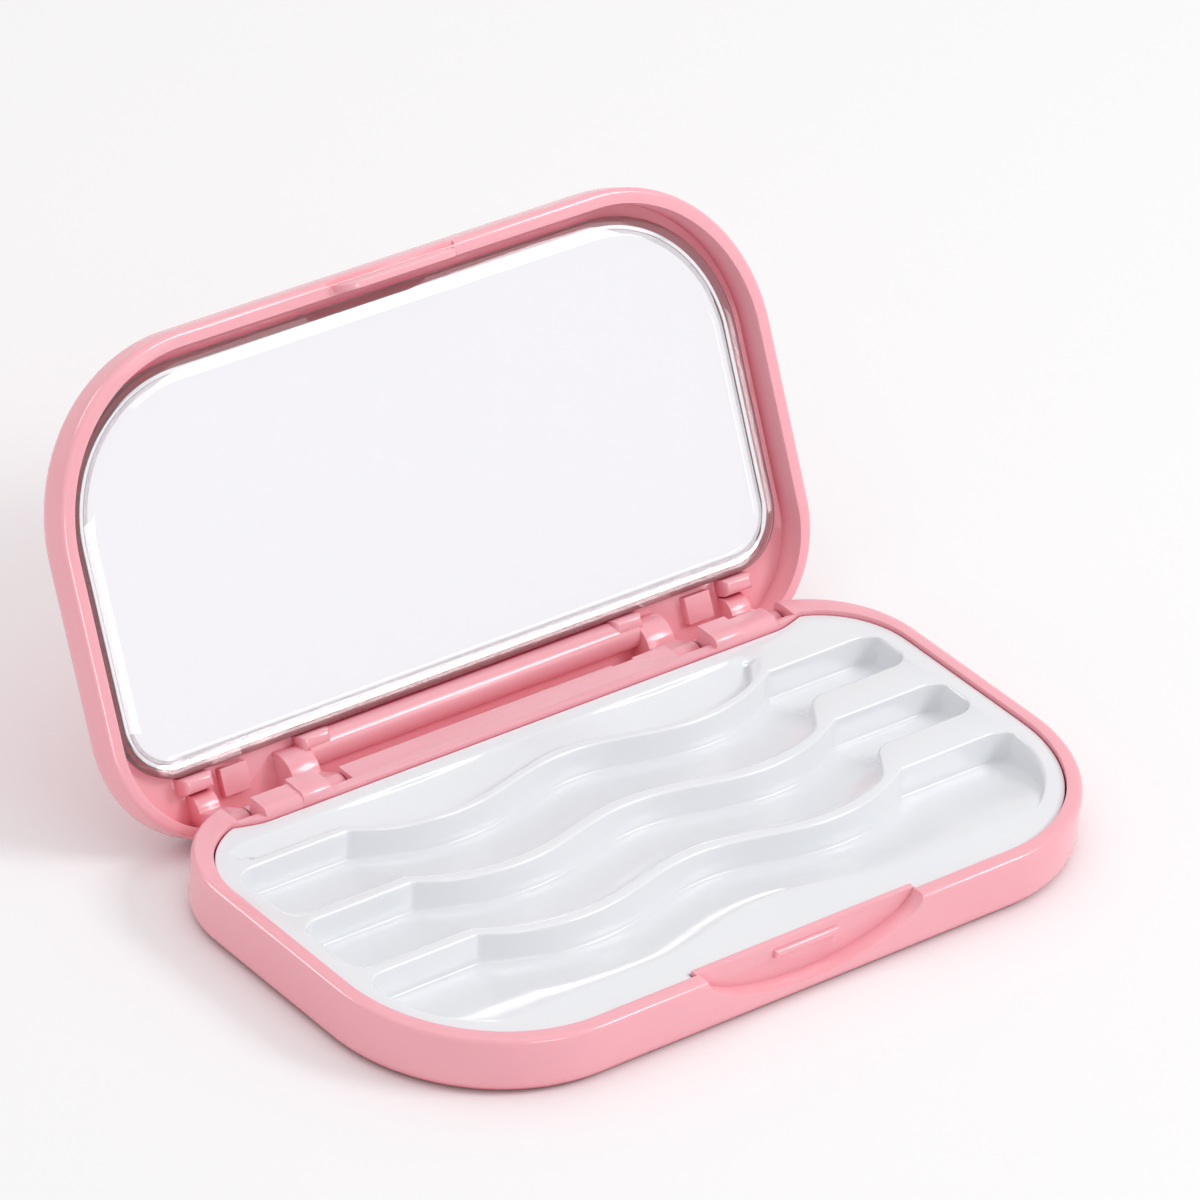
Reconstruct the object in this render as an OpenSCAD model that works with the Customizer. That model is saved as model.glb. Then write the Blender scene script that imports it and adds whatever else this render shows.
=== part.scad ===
// Folding case for strip lashes: a shallow base with a three row tray, and a hinged lid with a mirror.
// Millimetres. X runs across the case, the front is at -Y, the table is at Z = 0.
// The origin is the middle of the underside. The lid stands open, as it rests in use.

/* [Case] */
// Width of the case, left to right
case_w = 116; // [104:1:140]
// Depth of the case, front to rear
case_d = 64.5; // [60:0.5:80]
// Height of the base shell up to the plane where the lid meets it
base_h = 8.4; // [8:0.2:12]
// Height of the lid shell above that plane
lid_h = 5.6; // [5.2:0.1:6.4]
// Radius of the two front corners, seen from above
front_r = 24; // [12:1:26]
// Radius of the two rear corners, seen from above
rear_r = 16; // [14:1:18]
// Thickness of the side and front walls
wall = 2.1; // [1.8:0.1:2.6]
// Thickness of the rear wall of the lid
rear_wall = 1.5; // [1.2:0.1:1.8]
// Thickness of the floor of the base
floor_t = 1.6; // [1.2:0.1:2]
// Thickness of the top of the lid
roof_t = 1.4; // [1:0.1:1.8]
// Radius of the rounded edge under the base and over the lid
edge_r = 2.2; // [1:0.1:2.6]

/* [Hinge] */
// Angle between the closed lid and the open lid
open_angle = 117; // [90:1:119]
// Height of the hinge axis above the table
axis_h = 5.3; // [5.2:0.1:5.6]
// Distance of the hinge axis in front of the rear face of the lid
axis_inset = 2.05; // [1.95:0.05:2.1]
// How far the base stops short of the rear face of the lid
rear_setback = 0.4; // [0.4:0.1:0.8]
// Diameter of the hinge pins
pin_d = 1.5; // [1:0.1:1.8]
// Play of a pin in its arm, on the diameter
pin_play = 0.1; // [0.06:0.02:0.16]
// Radius of the hinge barrels
barrel_r = 1.9; // [1.6:0.05:1.9]
// Distance of the outer side of each hinge arm from the side of the case
arm_side = 15.6; // [15.6:0.2:22]
// Width of each hinge arm
arm_w = 10.4; // [8:0.2:14]
// Width of the lid cheek on the inner side of an arm
inner_cheek_w = 4.4; // [3:0.2:6]
// Width of the lid cheek on the outer side of an arm
outer_cheek_w = 3.3; // [2:0.1:3.6]
// Gap beside each cheek
side_gap = 0.25; // [0.15:0.05:0.4]
// Height that the arms stand above the rim
arm_rise = 0.9; // [0.4:0.1:1.4]

/* [Tray] */
// Gap between the tray and the wall round it
tray_gap = 0.2; // [0.1:0.05:0.4]
// Depth of the tray's top face below the rim
tray_drop = 0.6; // [0.2:0.1:1]
// Depth of the wells at the foot of each ridge
well_depth = 4.4; // [3:0.1:4.8]
// Depth of the shelf behind the first ridge
shelf_depth = 1.8; // [1:0.1:2.4]
// Number of lash rows
rows = 3; // [2:1:4]
// Width of the tray's flange at its sides
flange_w = 2.7; // [2:0.1:4]
// Distance from the tray's front edge to the front crest
front_land = 10.05; // [9.5:0.1:13]
// Distance from the tray's rear edge to the first ridge
rear_land = 6.9; // [6:0.1:10]
// How much narrower the front row is than the others
front_row_cut = 1.3; // [0:0.1:2]
// Half length of the wavy part of a ridge
wave_half = 35; // [28:0.5:38]
// How far a ridge bulges forward
wave_bulge = 4.1; // [2:0.1:5]
// How far a ridge stands forward in the middle
wave_middle = 0.9; // [0:0.1:1.5]
// Length of the flat land behind each crest
crest_land = 1.8; // [1:0.1:4]
// How much longer that land is past the waves on the right
pocket_land = 4.2; // [0:0.1:4.6]
// Thickness of the tray's moulded skin over its hollows
tray_skin = 1.2; // [0.8:0.1:1.6]

/* [Latch] */
// Half width of the scoop in the front wall
scoop_half = 17.8; // [13:0.2:20]
// Depth of the scoop below the rim
scoop_drop = 6; // [5:0.1:6.2]
// Thickness of the wall left behind the scoop
scoop_wall = 0.9; // [0.7:0.1:1.1]
// Depth of the scoop into the front wall
scoop_in = 2.35; // [2.2:0.05:2.6]
// Half length of the catch rib in the scoop
rib_half = 5.2; // [3:0.1:7]
// Half length of the hook lip on the lid
hook_half = 9.6; // [7:0.1:12]
// How far the hook lip reaches below the lid
hook_drop = 3.1; // [2.4:0.1:3.6]
// Thickness of the hook lip
hook_t = 0.85; // [0.7:0.05:1]
// Gap between the hook lip and the catch rib
hook_gap = 0.1; // [0.05:0.05:0.2]

/* [Mirror] */
// Thickness of the mirror plate
mirror_t = 2; // [1:0.1:2.2]
// Thickness of the adhesive pad behind it
pad_t = 0.2; // [0.1:0.05:0.5]
// Gap between the mirror and the wall of the lid
mirror_gap = 1.7; // [1:0.1:3]
// Distance from the rear wall of the lid to the mirror
trough_d = 7.5; // [7:0.1:10]
// Width of the bevel round the mirror
bevel_w = 3; // [1:0.1:4]
// Depth of that bevel
bevel_t = 0.8; // [0.3:0.1:1]
// Radius of the mirror's two rear corners
mirror_rear_r = 8; // [5:0.5:12]

/* [Hidden] */
$fn = 96;
over = 1; // how far a cut runs past the face that it opens
join = 0.2; // how far pieces of one solid run into each other
pink = [0.97, 0.72, 0.77];

// Outline of the closed case
front_y = -case_d / 2;
rear_y = case_d / 2;
base_rear_y = rear_y - rear_setback;
closed_h = base_h + lid_h;
roof_z = closed_h - roof_t;

// Hinge
axis_y = rear_y - axis_inset;
swing_r = base_h - axis_h; // the base stays inside this radius behind the axis
arm_out = case_w / 2 - arm_side;
arm_in = arm_out - arm_w;
slot_in = arm_in - inner_cheek_w - 2 * side_gap;
slot_out = arm_out + outer_cheek_w + 2 * side_gap;
arm_top = base_h + arm_rise;
arm_round = 1.2; // rounding of the front edge of an arm
arm_step = 0.3; // the inner half of an arm stands this much higher
arm_split = (arm_in + arm_out) / 2 - 0.7; // where the two halves of an arm meet
arm_past = 0.2; // the inner half ends this far behind the axis
arm_short = 0.4; // and the outer half this far in front of it
barrel_gap = 0.15; // in front of the barrels of the cheeks
pin_sunk = 0.1; // the pins end this far inside the cheeks
inner_gusset = 3.7; // radius of the gussets of the cheeks
outer_gusset = 2.5;
roll_r = 2.3; // half round roll in the trough of the lid
roll_gap = 0.35; // between the roll and the mirror
roll_sunk = 0.3; // depth of the middle of the roll below the roof
roll_y = rear_y - rear_wall - trough_d + roll_r + roll_gap;
roll_z = roof_z - roll_sunk;

// Rear ledge and the lip between it and the tray
lip_y = axis_y - 4;
lip_t = 1.2;
lip_z = base_h - 0.1;
ledge_z = base_h - 0.6;
notch_x = [18, 21.5]; // small moulding notch in the rear of the ledge
notch_in = 1.1;

// Tray
tray_z = base_h - tray_drop;
corner_step = 1.9; // the tray reaches this much further back in its corners
step_from = arm_out - 0.6; // where that step begins and ends, from the middle
step_to = step_from + 9.2;
corner_less = 1; // the tray's rear corners are this much tighter than the wall behind them
tray_rear_y = lip_y - tray_gap;
tray_front_y = front_y + wall + tray_gap;
ridge_y0 = tray_rear_y - rear_land;
front_crest_y = tray_front_y + front_land;
pitch = (ridge_y0 - front_crest_y + front_row_cut) / rows;
ridge_half = case_w / 2 - wall - tray_gap - flange_w;
rear_flange = 2.1;
recess_rear_r = 3; // rear corners of the recess that holds the rows
shelf_half = ridge_half - 2; // the rear shelf ends short of the rows on the left
shelf_right = wave_half + 0.5; // and at the end of the waves on the right
wave_peak = wave_half - 15; // where a ridge bulges most, from the middle
wave_power = 2.2; // how sharply a ridge turns back to its straight ends
climb_left = 0.12; // share of a well's depth that is left where the floor eases off
land_lead = 4; // the land on the right begins to widen this far inside the waves
land_run = 6; // and takes this long

// Mirror
mirror_rear_y = rear_y - rear_wall - trough_d;
pad_inset = 2; // the pad stops this far inside the mirror's edge
lug_size = [4.6, 2.2, mirror_t + pad_t + 0.4]; // lugs along the rear edge of the mirror
lug_gap = 0.2;
lug_x = [slot_in - 1.1, slot_out - 1.3];

// Pads of the lid above the outer half of each arm
rest_size = [4.6, 4.6, 1.2];
rest_x = arm_out - 6.4;
rest_gap = 0.8; // between a pad and the mirror

// Scoop and latch
face_y = front_y + scoop_in;
rib_out = 0.65; // how far the rib stands out of the scoop
hook_y = face_y - rib_out - hook_gap - hook_t;
rib_z = base_h - 1.7;
rib_t = 0.9;
hook_round = 2.6;
rim_notch = 0.4; // the lid's rim is this much lower in front of the hook lip
notch_side = 0.8; // and this far past its ends
scoop_rise = 0.2; // the outline of the scoop starts this far above the rim
scoop_power = 0.55; // below 0.5 its floor is flatter, above it is rounder

// How far a ridge lies from its straight ends, at a distance x from the middle
function wave(x) =
    let (a = abs(x))
    a >= wave_half ? 0 :
    a <= wave_peak
        ? -wave_middle - (wave_bulge - wave_middle) * (1 - cos(180 * a / wave_peak)) / 2
        : -wave_bulge * (1 - pow((a - wave_peak) / (wave_half - wave_peak), wave_power));

// Smooth step from 0 to 1
function smooth(t) =
    let (c = min(max(t, 0), 1))
    c * c * (3 - 2 * c);

// Plan of the case: two front corners, two rear corners and the bands between them
module plan(w, y0, y1, rf, rr) {
    mid = (y0 + rf + y1 - rr) / 2;
    for (s = [-1, 1]) {
        translate([s * (w / 2 - rf), y0 + rf]) circle(rf);
        translate([s * (w / 2 - rr), y1 - rr]) circle(rr);
    }
    translate([rf - w / 2, y0]) square([w - 2 * rf, mid - y0]);
    translate([rr - w / 2, mid]) square([w - 2 * rr, y1 - mid]);
    translate([-w / 2, y0 + rf]) square([w, y1 - rr - y0 - rf]);
}

// Half profile of a shell with its lower outer edge rounded
module round_edge(h) {
    square([$reach - edge_r, h]);
    translate([0, edge_r]) square([$reach, h - edge_r]);
    translate([$reach - edge_r, edge_r]) circle(edge_r);
}

// Half profile of the mirror with its bevel
module bevel_edge() {
    polygon([
        [0, 0],
        [$reach - bevel_w, 0],
        [$reach, bevel_t],
        [$reach, mirror_t],
        [0, mirror_t]]);
}

// Runs a YZ profile along X, and an XZ profile along Y
module along_x(x0, x1) {
    translate([x0, 0, 0]) rotate([90, 0, 90]) linear_extrude(x1 - x0) children();
}

module along_y(y0, y1) {
    translate([0, y1, 0]) rotate([90, 0, 0]) linear_extrude(y1 - y0) children();
}

// Solid on the case's plan, with its edge shaped by the half profile given as the child.
// The child is drawn from X = 0 out to $reach.
module slab(w, y0, y1, rf, rr) {
    mid = (y0 + rf + y1 - rr) / 2;
    for (s = [-1, 1]) {
        translate([s * (w / 2 - rf), y0 + rf, 0]) rotate_extrude() let ($reach = rf) children();
        translate([s * (w / 2 - rr), y1 - rr, 0]) rotate_extrude() let ($reach = rr) children();
    }
    along_x(rf - w / 2, w / 2 - rf) translate([mid, 0]) mirror([1, 0]) let ($reach = mid - y0) children();
    along_x(rr - w / 2, w / 2 - rr) translate([mid, 0]) let ($reach = y1 - mid) children();
    along_y(y0 + rf, y1 - rr) let ($reach = w / 2) {
        children();
        mirror([1, 0]) children();
    }
}

// Both sides of the case
module both_sides() {
    children();
    mirror([1, 0, 0]) children();
}

// Plan of the space for the tray, or of the tray itself with its gap
module tray_plan(gap) {
    corner_y = lip_y + corner_step - gap;
    reach = scoop_half + gap;
    difference() {
        plan(case_w - 2 * (wall + gap), front_y + wall + gap, corner_y,
            front_r - wall - gap, rear_r - wall - gap - corner_less);
        polygon(concat(
            [for (i = [0 : 12])
                let (t = i / 12)
                [step_to + (step_from - step_to) * t, lip_y - gap + corner_step * smooth(1 - t)]],
            [for (i = [0 : 12])
                let (t = i / 12)
                [-step_from + (step_from - step_to) * t, lip_y - gap + corner_step * smooth(t)]],
            [[-step_to, rear_y], [step_to, rear_y]]));
        translate([-reach, front_y]) square([2 * reach, scoop_in + scoop_wall + gap]);
    }
}

// Arm on the right: a block at the tray's edge with a stepped top, and the barrel behind it
module arm_profile(top, depth) {
    translate([lip_y - over, floor_t - over]) square([depth + over, top - arm_round - floor_t + over]);
    translate([lip_y + arm_round, 0]) square([depth - arm_round, top]);
    translate([lip_y + arm_round, top - arm_round]) circle(arm_round);
    translate([lip_y, floor_t - over]) square([axis_y - lip_y, axis_h - floor_t + over]);
    translate([axis_y, axis_h]) circle(barrel_r);
}

module hinge_arm() {
    along_x(arm_in, arm_split) arm_profile(arm_top + arm_step, axis_y - lip_y + arm_past);
    along_x(arm_split, arm_out) arm_profile(arm_top, axis_y - lip_y - arm_short);
}

module pin_bore(d, x0, x1) {
    translate([x0, axis_y, axis_h]) rotate([0, 90, 0]) cylinder(d = d, h = x1 - x0);
}

// Smile shaped outline of the scoop
module scoop_plan(half, drop) {
    polygon(concat(
        [for (i = [0 : 24])
            let (x = -half + 2 * half * i / 24)
            [x, base_h + scoop_rise - drop * pow(max(1 - pow(x / half, 2), 0), scoop_power)]],
        [[half, base_h + over], [-half, base_h + over]]));
}

module base_shell() {
    color(pink)
    difference() {
        union() {
            difference() {
                slab(case_w, front_y, base_rear_y, front_r, rear_r - rear_setback) round_edge(base_h);
                // Rear ledge between the hinges
                translate([-slot_out, lip_y + lip_t, ledge_z]) cube([2 * slot_out, case_d, base_h]);
                // Lip at the edge of the tray
                translate([-slot_out, lip_y, lip_z]) cube([2 * slot_out, case_d, base_h]);
                // Bays for the cheeks of the lid
                both_sides() translate([slot_in, axis_y - barrel_r - barrel_gap, floor_t])
                    cube([slot_out - slot_in, case_d, base_h]);
                // Round the rear edge that the lid turns about
                difference() {
                    translate([-case_w, axis_y, axis_h]) cube([2 * case_w, case_d, base_h]);
                    pin_bore(2 * swing_r, -2 * case_w, 2 * case_w);
                }
                translate([notch_x[0], base_rear_y - notch_in, floor_t])
                    cube([notch_x[1] - notch_x[0], case_d, base_h]);
                // Scoop in the front wall
                along_y(front_y - over, face_y) scoop_plan(scoop_half, scoop_drop);
            }
            both_sides() hinge_arm();
        }
        translate([0, 0, floor_t]) linear_extrude(base_h + arm_top) tray_plan(0);
        both_sides() pin_bore(pin_d + pin_play, arm_in - over, arm_out + over);
    }
    // Catch rib that the hook lip snaps over
    color(pink) along_x(-rib_half, rib_half) {
        translate([face_y - rib_out + rib_t / 2, rib_z]) circle(d = rib_t);
        translate([face_y - rib_out + rib_t / 2, rib_z - rib_t / 2])
            square([rib_out - rib_t / 2 + scoop_wall / 2, rib_t]);
    }
}

// Front edge of a row at x. It follows the wave and leaves a longer land past the waves on the right;
// the floor of the front row instead climbs on to a crest that stays forward towards the ends.
function row_front(x, y, run, is_front) =
    is_front
        ? front_crest_y + (abs(x) < wave_peak ? wave(x) : -wave_bulge - over)
        : y + wave(x) - run + pocket_land * smooth((x - wave_half + land_lead) / land_run);

// Plan of one row of the tray
module row_plan(y, x0, x1, run, is_front) {
    steps = 48;
    polygon(concat(
        [for (i = [0 : steps])
            let (x = x0 + (x1 - x0) * i / steps)
            [x, y + wave(x)]],
        [for (i = [steps : -1 : 0])
            let (x = x0 + (x1 - x0) * i / steps)
            [x, row_front(x, y, run, is_front)]]));
}

// Floor of a row as a profile: level under the wave, then climbing to the front
function floor_line(y, depth, run, low, is_front) =
    let (foot = [[y + over, tray_z - depth - low], [y - wave_bulge, tray_z - depth - low]])
    is_front
        ? concat(foot, [[front_crest_y - wave_bulge, tray_z - low]])
        : concat(foot, [[y - run, tray_z - depth * climb_left - low], [y - run - wave_bulge, tray_z - low]]);

// Height of the line through the points a and b, at y
function height_at(a, b, y) = a[1] + (b[1] - a[1]) * (y - a[0]) / (b[0] - a[0]);

// One row to be cut out: an upright wavy cliff behind, the floor climbing in front of it
module row_cut(y, x0, x1, depth, run, is_front = false) {
    line = floor_line(y, depth, run, 0, is_front);
    last = line[len(line) - 1];
    intersection() {
        translate([0, 0, floor_t]) linear_extrude(base_h) row_plan(y, x0, x1, run, is_front);
        along_x(x0 - over, x1 + over) polygon(concat(
            line,
            [[last[0] - over, tray_z + over], [y + over, tray_z + over]]));
    }
}

module lash_tray() {
    inset = tray_gap + wall + flange_w;
    run = pitch - crest_land;
    shelf_y = tray_rear_y - rear_flange;
    color([0.93, 0.94, 0.96])
    difference() {
        translate([0, 0, floor_t]) linear_extrude(tray_z - floor_t) tray_plan(tray_gap);
        intersection() {
            union() {
                for (k = [0 : rows - 1])
                    row_cut(ridge_y0 - k * pitch, -ridge_half - over, ridge_half + over, well_depth, run,
                        k == rows - 1);
                // Shallow shelf behind the first ridge
                row_cut(shelf_y + wave_bulge + over, -shelf_half, shelf_right, shelf_depth,
                    shelf_y + wave_bulge + over - ridge_y0 - crest_land / 2);
            }
            translate([0, 0, floor_t]) linear_extrude(base_h)
                plan(case_w - 2 * inset, front_y + inset, shelf_y, front_r - inset, recess_rear_r);
        }
        // Hollows under the floors
        for (k = [0 : rows - 1]) {
            y = ridge_y0 - k * pitch;
            front = y - pitch + tray_skin;
            shown = floor_line(y, well_depth, run, tray_skin, k == rows - 1);
            eased = max(shown[2][0], front);
            top = height_at(shown[1], shown[2], eased);
            along_x(-ridge_half + tray_skin + 2, ridge_half - tray_skin - 2) polygon(concat(
                [[shown[1][0], floor_t - over], shown[1]],
                eased > front ? [[eased, top]] : [],
                [[front, top], [front, floor_t - over]]));
        }
    }
}

// Turns what is drawn closed to where the open lid stands
module opened() {
    translate([0, axis_y, axis_h])
        rotate([-open_angle, 0, 0])
            translate([0, -axis_y, -axis_h])
                children();
}

// Cheek of the lid beside an arm: the barrel, the web above it and its round gusset
module cheek(x0, x1, gusset) {
    along_x(x0, x1) {
        translate([axis_y, axis_h]) circle(barrel_r);
        translate([axis_y - barrel_r, axis_h]) square([2 * barrel_r, roof_z + join - axis_h]);
        intersection() {
            translate([axis_y - barrel_r, roof_z]) circle(gusset);
            translate([axis_y - barrel_r - gusset, roof_z - gusset]) square([gusset + join, gusset + join]);
        }
    }
}

// Small lug that holds the rear edge of the mirror
module lug(x) {
    translate([x - lug_size[0] / 2, mirror_rear_y + lug_gap, roof_z - lug_size[2]])
        cube(lug_size + [0, 0, join]);
}

module hook_plan() {
    for (s = [-1, 1])
        translate([s * (hook_half - hook_round), base_h - hook_drop + hook_round]) circle(hook_round);
    translate([hook_round - hook_half, base_h - hook_drop])
        square([2 * (hook_half - hook_round), hook_drop + over]);
    translate([-hook_half, base_h - hook_drop + hook_round])
        square([2 * hook_half, hook_drop - hook_round + over]);
}

module lid_closed() {
    difference() {
        union() {
            difference() {
                translate([0, 0, closed_h]) mirror([0, 0, 1])
                    slab(case_w, front_y, rear_y, front_r, rear_r) round_edge(lid_h);
                translate([0, 0, base_h - over]) linear_extrude(roof_z - base_h + over)
                    plan(case_w - 2 * wall, front_y + wall, rear_y - rear_wall,
                        front_r - wall, rear_r - wall);
                // The rim is lower in front of the hook lip
                translate([-hook_half - notch_side, front_y - over, base_h - over])
                    cube([2 * (hook_half + notch_side), hook_y - front_y + over - hook_gap, over + rim_notch]);
            }
            // Half round roll along the trough between the hinges, inside the roof
            along_x(-slot_in - side_gap, slot_in + side_gap) intersection() {
                translate([roll_y, roll_z]) circle(roll_r);
                translate([roll_y - roll_r, roll_z - roll_r])
                    square([2 * roll_r, roll_r + roll_sunk + join]);
            }
            both_sides() {
                cheek(slot_in + side_gap, arm_in - side_gap, inner_gusset);
                cheek(arm_out + side_gap, slot_out - side_gap, outer_gusset);
                lug(lug_x[0]);
                lug(lug_x[1]);
                translate([rest_x, mirror_rear_y + rest_gap, roof_z - rest_size[2]])
                    cube(rest_size + [0, 0, join]);
            }
            along_y(hook_y, hook_y + hook_t) hook_plan();
        }
        both_sides() pin_bore(pin_d, slot_in, slot_out);
    }
}

module lid_shell() {
    color(pink) opened() lid_closed();
}

module mirror_plate() {
    gap = wall + mirror_gap;
    color([0.85, 0.88, 0.92]) opened()
        translate([0, 0, roof_z - pad_t - mirror_t])
            slab(case_w - 2 * gap, front_y + gap, mirror_rear_y, front_r - gap, mirror_rear_r) bevel_edge();
}

module mirror_pad() {
    gap = wall + mirror_gap + pad_inset;
    color([0.3, 0.3, 0.32]) opened()
        translate([0, 0, roof_z - pad_t]) linear_extrude(pad_t)
            plan(case_w - 2 * gap, front_y + gap, mirror_rear_y - pad_inset,
                front_r - gap, mirror_rear_r - pad_inset);
}

module hinge_pin_right() {
    inside = side_gap + pin_sunk;
    color([0.75, 0.76, 0.78]) pin_bore(pin_d, slot_in + inside, slot_out - inside);
}

module hinge_pin_left() {
    mirror([1, 0, 0]) hinge_pin_right();
}

base_shell();
lash_tray();
lid_shell();
mirror_plate();
mirror_pad();
hinge_pin_left();
hinge_pin_right();
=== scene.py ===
from math import acos, cos, degrees, pi, radians, sin, sqrt

import bmesh
import bpy
from mathutils import Matrix, Quaternion, Vector


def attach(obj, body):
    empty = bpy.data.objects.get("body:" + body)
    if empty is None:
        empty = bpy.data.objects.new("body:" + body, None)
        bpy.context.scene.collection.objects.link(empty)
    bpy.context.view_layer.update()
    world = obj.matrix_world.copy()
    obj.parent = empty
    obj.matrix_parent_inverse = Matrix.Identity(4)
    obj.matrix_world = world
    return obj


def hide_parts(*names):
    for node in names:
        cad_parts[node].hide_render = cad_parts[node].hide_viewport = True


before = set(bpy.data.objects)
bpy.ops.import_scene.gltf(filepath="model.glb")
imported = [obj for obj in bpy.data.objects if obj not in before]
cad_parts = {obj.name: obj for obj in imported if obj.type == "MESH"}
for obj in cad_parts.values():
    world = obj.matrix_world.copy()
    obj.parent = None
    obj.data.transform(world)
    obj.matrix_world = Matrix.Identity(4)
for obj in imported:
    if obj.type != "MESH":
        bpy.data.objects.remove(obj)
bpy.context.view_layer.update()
print("frame loaded")

mm = 0.001
hair = 0.001                             # places closer than this, in millimetres, count as the same

# sizes that several pieces share, in millimetres, as in the part's source
case = {
    "width": 116,
    "depth": 64.5,
    "frontR": 24,
    "rearR": 16,
    "rimZ": 8.4,
    "topZ": 14,
    "wall": 2.1,
    "edgeR": 2.21,
    "rimR": 0.75,
    "cornerSteps": 24,
    "overTop": 4,                        # how far cuts run out above the closed case
}
hinge = {
    "y": 30.2,
    "z": 5.3,
    "openAngle": 117,
    "barrelR": 1.9,
    "armIn": 32,
    "armOut": 42.4,
    "slotIn": 27.1,
    "slotOut": 46.2,
    "slotGap": 0.15,                     # in front of the barrels
}
beyond = 80                              # past the case on every side, for cuts that run out of it


# working on one object at a time

def only(obj):
    bpy.ops.object.select_all(action="DESELECT")
    obj.select_set(True)
    bpy.context.view_layer.objects.active = obj


def pick(kind, test):
    # in edit mode, selects the edges or faces that pass the test
    bpy.ops.mesh.select_mode(type=kind)
    bpy.ops.mesh.select_all(action="DESELECT")
    mesh = bpy.context.edit_object.data
    bm = bmesh.from_edit_mesh(mesh)
    for part in {"EDGE": bm.edges, "FACE": bm.faces}[kind]:
        if test(part):
            part.select_set(True)
    bm.select_flush_mode()
    bmesh.update_edit_mesh(mesh)


def edgeMiddle(edge):
    return (edge.verts[0].co + edge.verts[1].co) / (2 * mm)


def sharpAt(height, angle=1):
    # a test for the edges at one height that are sharper than an angle in radians
    return lambda e: abs(edgeMiddle(e).z - height) < hair and e.calc_face_angle() > angle


def bevelWhere(obj, test, radius, steps):
    only(obj)
    bpy.ops.object.mode_set(mode="EDIT")
    pick("EDGE", test)
    bpy.ops.mesh.bevel(offset=radius * mm, segments=steps, affect="EDGES", clamp_overlap=True)
    bpy.ops.object.mode_set(mode="OBJECT")


def prism(name, points, low, high, axis="Z"):
    # a ring of vertices set on the points, filled, then extruded along the axis
    bpy.ops.object.select_all(action="DESELECT")
    bpy.ops.mesh.primitive_circle_add(vertices=len(points), radius=1, fill_type="NGON")
    obj = bpy.context.object
    obj.name = name
    place = {
        "X": lambda a, b, c: (c, a, b),
        "Y": lambda a, b, c: (a, c, b),
        "Z": lambda a, b, c: (a, b, c),
    }[axis]
    for v, (a, b) in zip(obj.data.vertices, points):
        v.co = Vector(place(a, b, low)) * mm
    bpy.ops.object.mode_set(mode="EDIT")
    bpy.ops.mesh.select_all(action="SELECT")
    move = Vector(place(0, 0, high - low)) * mm
    bpy.ops.mesh.extrude_region_move(TRANSFORM_OT_translate={"value": move})
    bpy.ops.mesh.select_all(action="SELECT")
    bpy.ops.mesh.normals_make_consistent(inside=False)
    bpy.ops.object.mode_set(mode="OBJECT")
    return obj


def block(name, low, high):
    bpy.ops.object.select_all(action="DESELECT")
    low, high = Vector(low) * mm, Vector(high) * mm
    bpy.ops.mesh.primitive_cube_add(size=1, location=(low + high) / 2, scale=high - low)
    obj = bpy.context.object
    obj.name = name
    bpy.ops.object.transform_apply(location=True, rotation=True, scale=True)
    return obj


def useOn(obj, tool, operation):
    # the tool is gone once its boolean is applied
    only(obj)
    step = obj.modifiers.new(operation, "BOOLEAN")
    step.operation = operation
    step.solver = "EXACT"
    step.object = tool
    bpy.ops.object.modifier_apply(modifier=step.name)
    bpy.data.objects.remove(tool, do_unlink=True)


def cut(obj, *tools):
    for tool in tools:
        useOn(obj, tool, "DIFFERENCE")


def fuse(obj, *tools):
    for tool in tools:
        useOn(obj, tool, "UNION")


def soften(obj, width, steps=3, sharpest=32):
    # joins flat faces again, then gives every edge the small radius of the mould
    only(obj)
    bpy.ops.object.mode_set(mode="EDIT")
    bpy.ops.mesh.select_all(action="SELECT")
    bpy.ops.mesh.remove_doubles(threshold=0.002 * mm)
    bpy.ops.mesh.dissolve_limited(angle_limit=radians(0.3))
    bpy.ops.mesh.select_all(action="SELECT")
    bpy.ops.mesh.normals_make_consistent(inside=False)
    bpy.ops.object.mode_set(mode="OBJECT")
    edge = obj.modifiers.new("edge", "BEVEL")
    edge.width = width * mm
    edge.segments = steps
    edge.limit_method = "ANGLE"
    edge.angle_limit = radians(sharpest)
    edge.miter_outer = "MITER_ARC"
    edge.use_clamp_overlap = True
    bpy.ops.object.modifier_apply(modifier=edge.name)
    bpy.ops.object.shade_smooth_by_angle(angle=radians(40))


def arc(cx, cy, r, start, end, steps):
    angles = [radians(start + (end - start) * i / steps) for i in range(steps + 1)]
    return [(cx + r * cos(a), cy + r * sin(a)) for a in angles]


def smooth(t):
    t = min(max(t, 0), 1)
    return t * t * (3 - 2 * t)


def roundedPlan(halfWidth, frontY, rearY, frontR, rearR):
    n = case["cornerSteps"]
    w, f, r = halfWidth, frontR, rearR
    return (arc(-w + f, frontY + f, f, 180, 270, n) + arc(w - f, frontY + f, f, 270, 360, n)
            + arc(w - r, rearY - r, r, 0, 90, n) + arc(-w + r, rearY - r, r, 90, 180, n))


def casePlan(inset, rearY, rearR=case["rearR"]):
    # outline of the case from above, drawn in by a margin
    return roundedPlan(case["width"] / 2 - inset, -case["depth"] / 2 + inset, rearY,
                       case["frontR"] - inset, rearR - inset)


def openUp(obj):
    # turns a piece made in the closed lid to where the open lid stands
    pivot = Vector((0, hinge["y"], hinge["z"])) * mm
    turn = Matrix.Rotation(radians(-hinge["openAngle"]), 4, "X")
    obj.data.transform(Matrix.Translation(pivot) @ turn @ Matrix.Translation(-pivot))


# the bay that holds the tray: round corners, a step back in the rear ones, a notch at the scoop
bay = {
    "rearY": 26.2,
    "stepBack": 1.9,
    "stepFrom": 41.8,
    "stepTo": 51,
    "scoopHalf": 18,
    "scoopY": -29,
    "rearR": 12.9,
}


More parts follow.
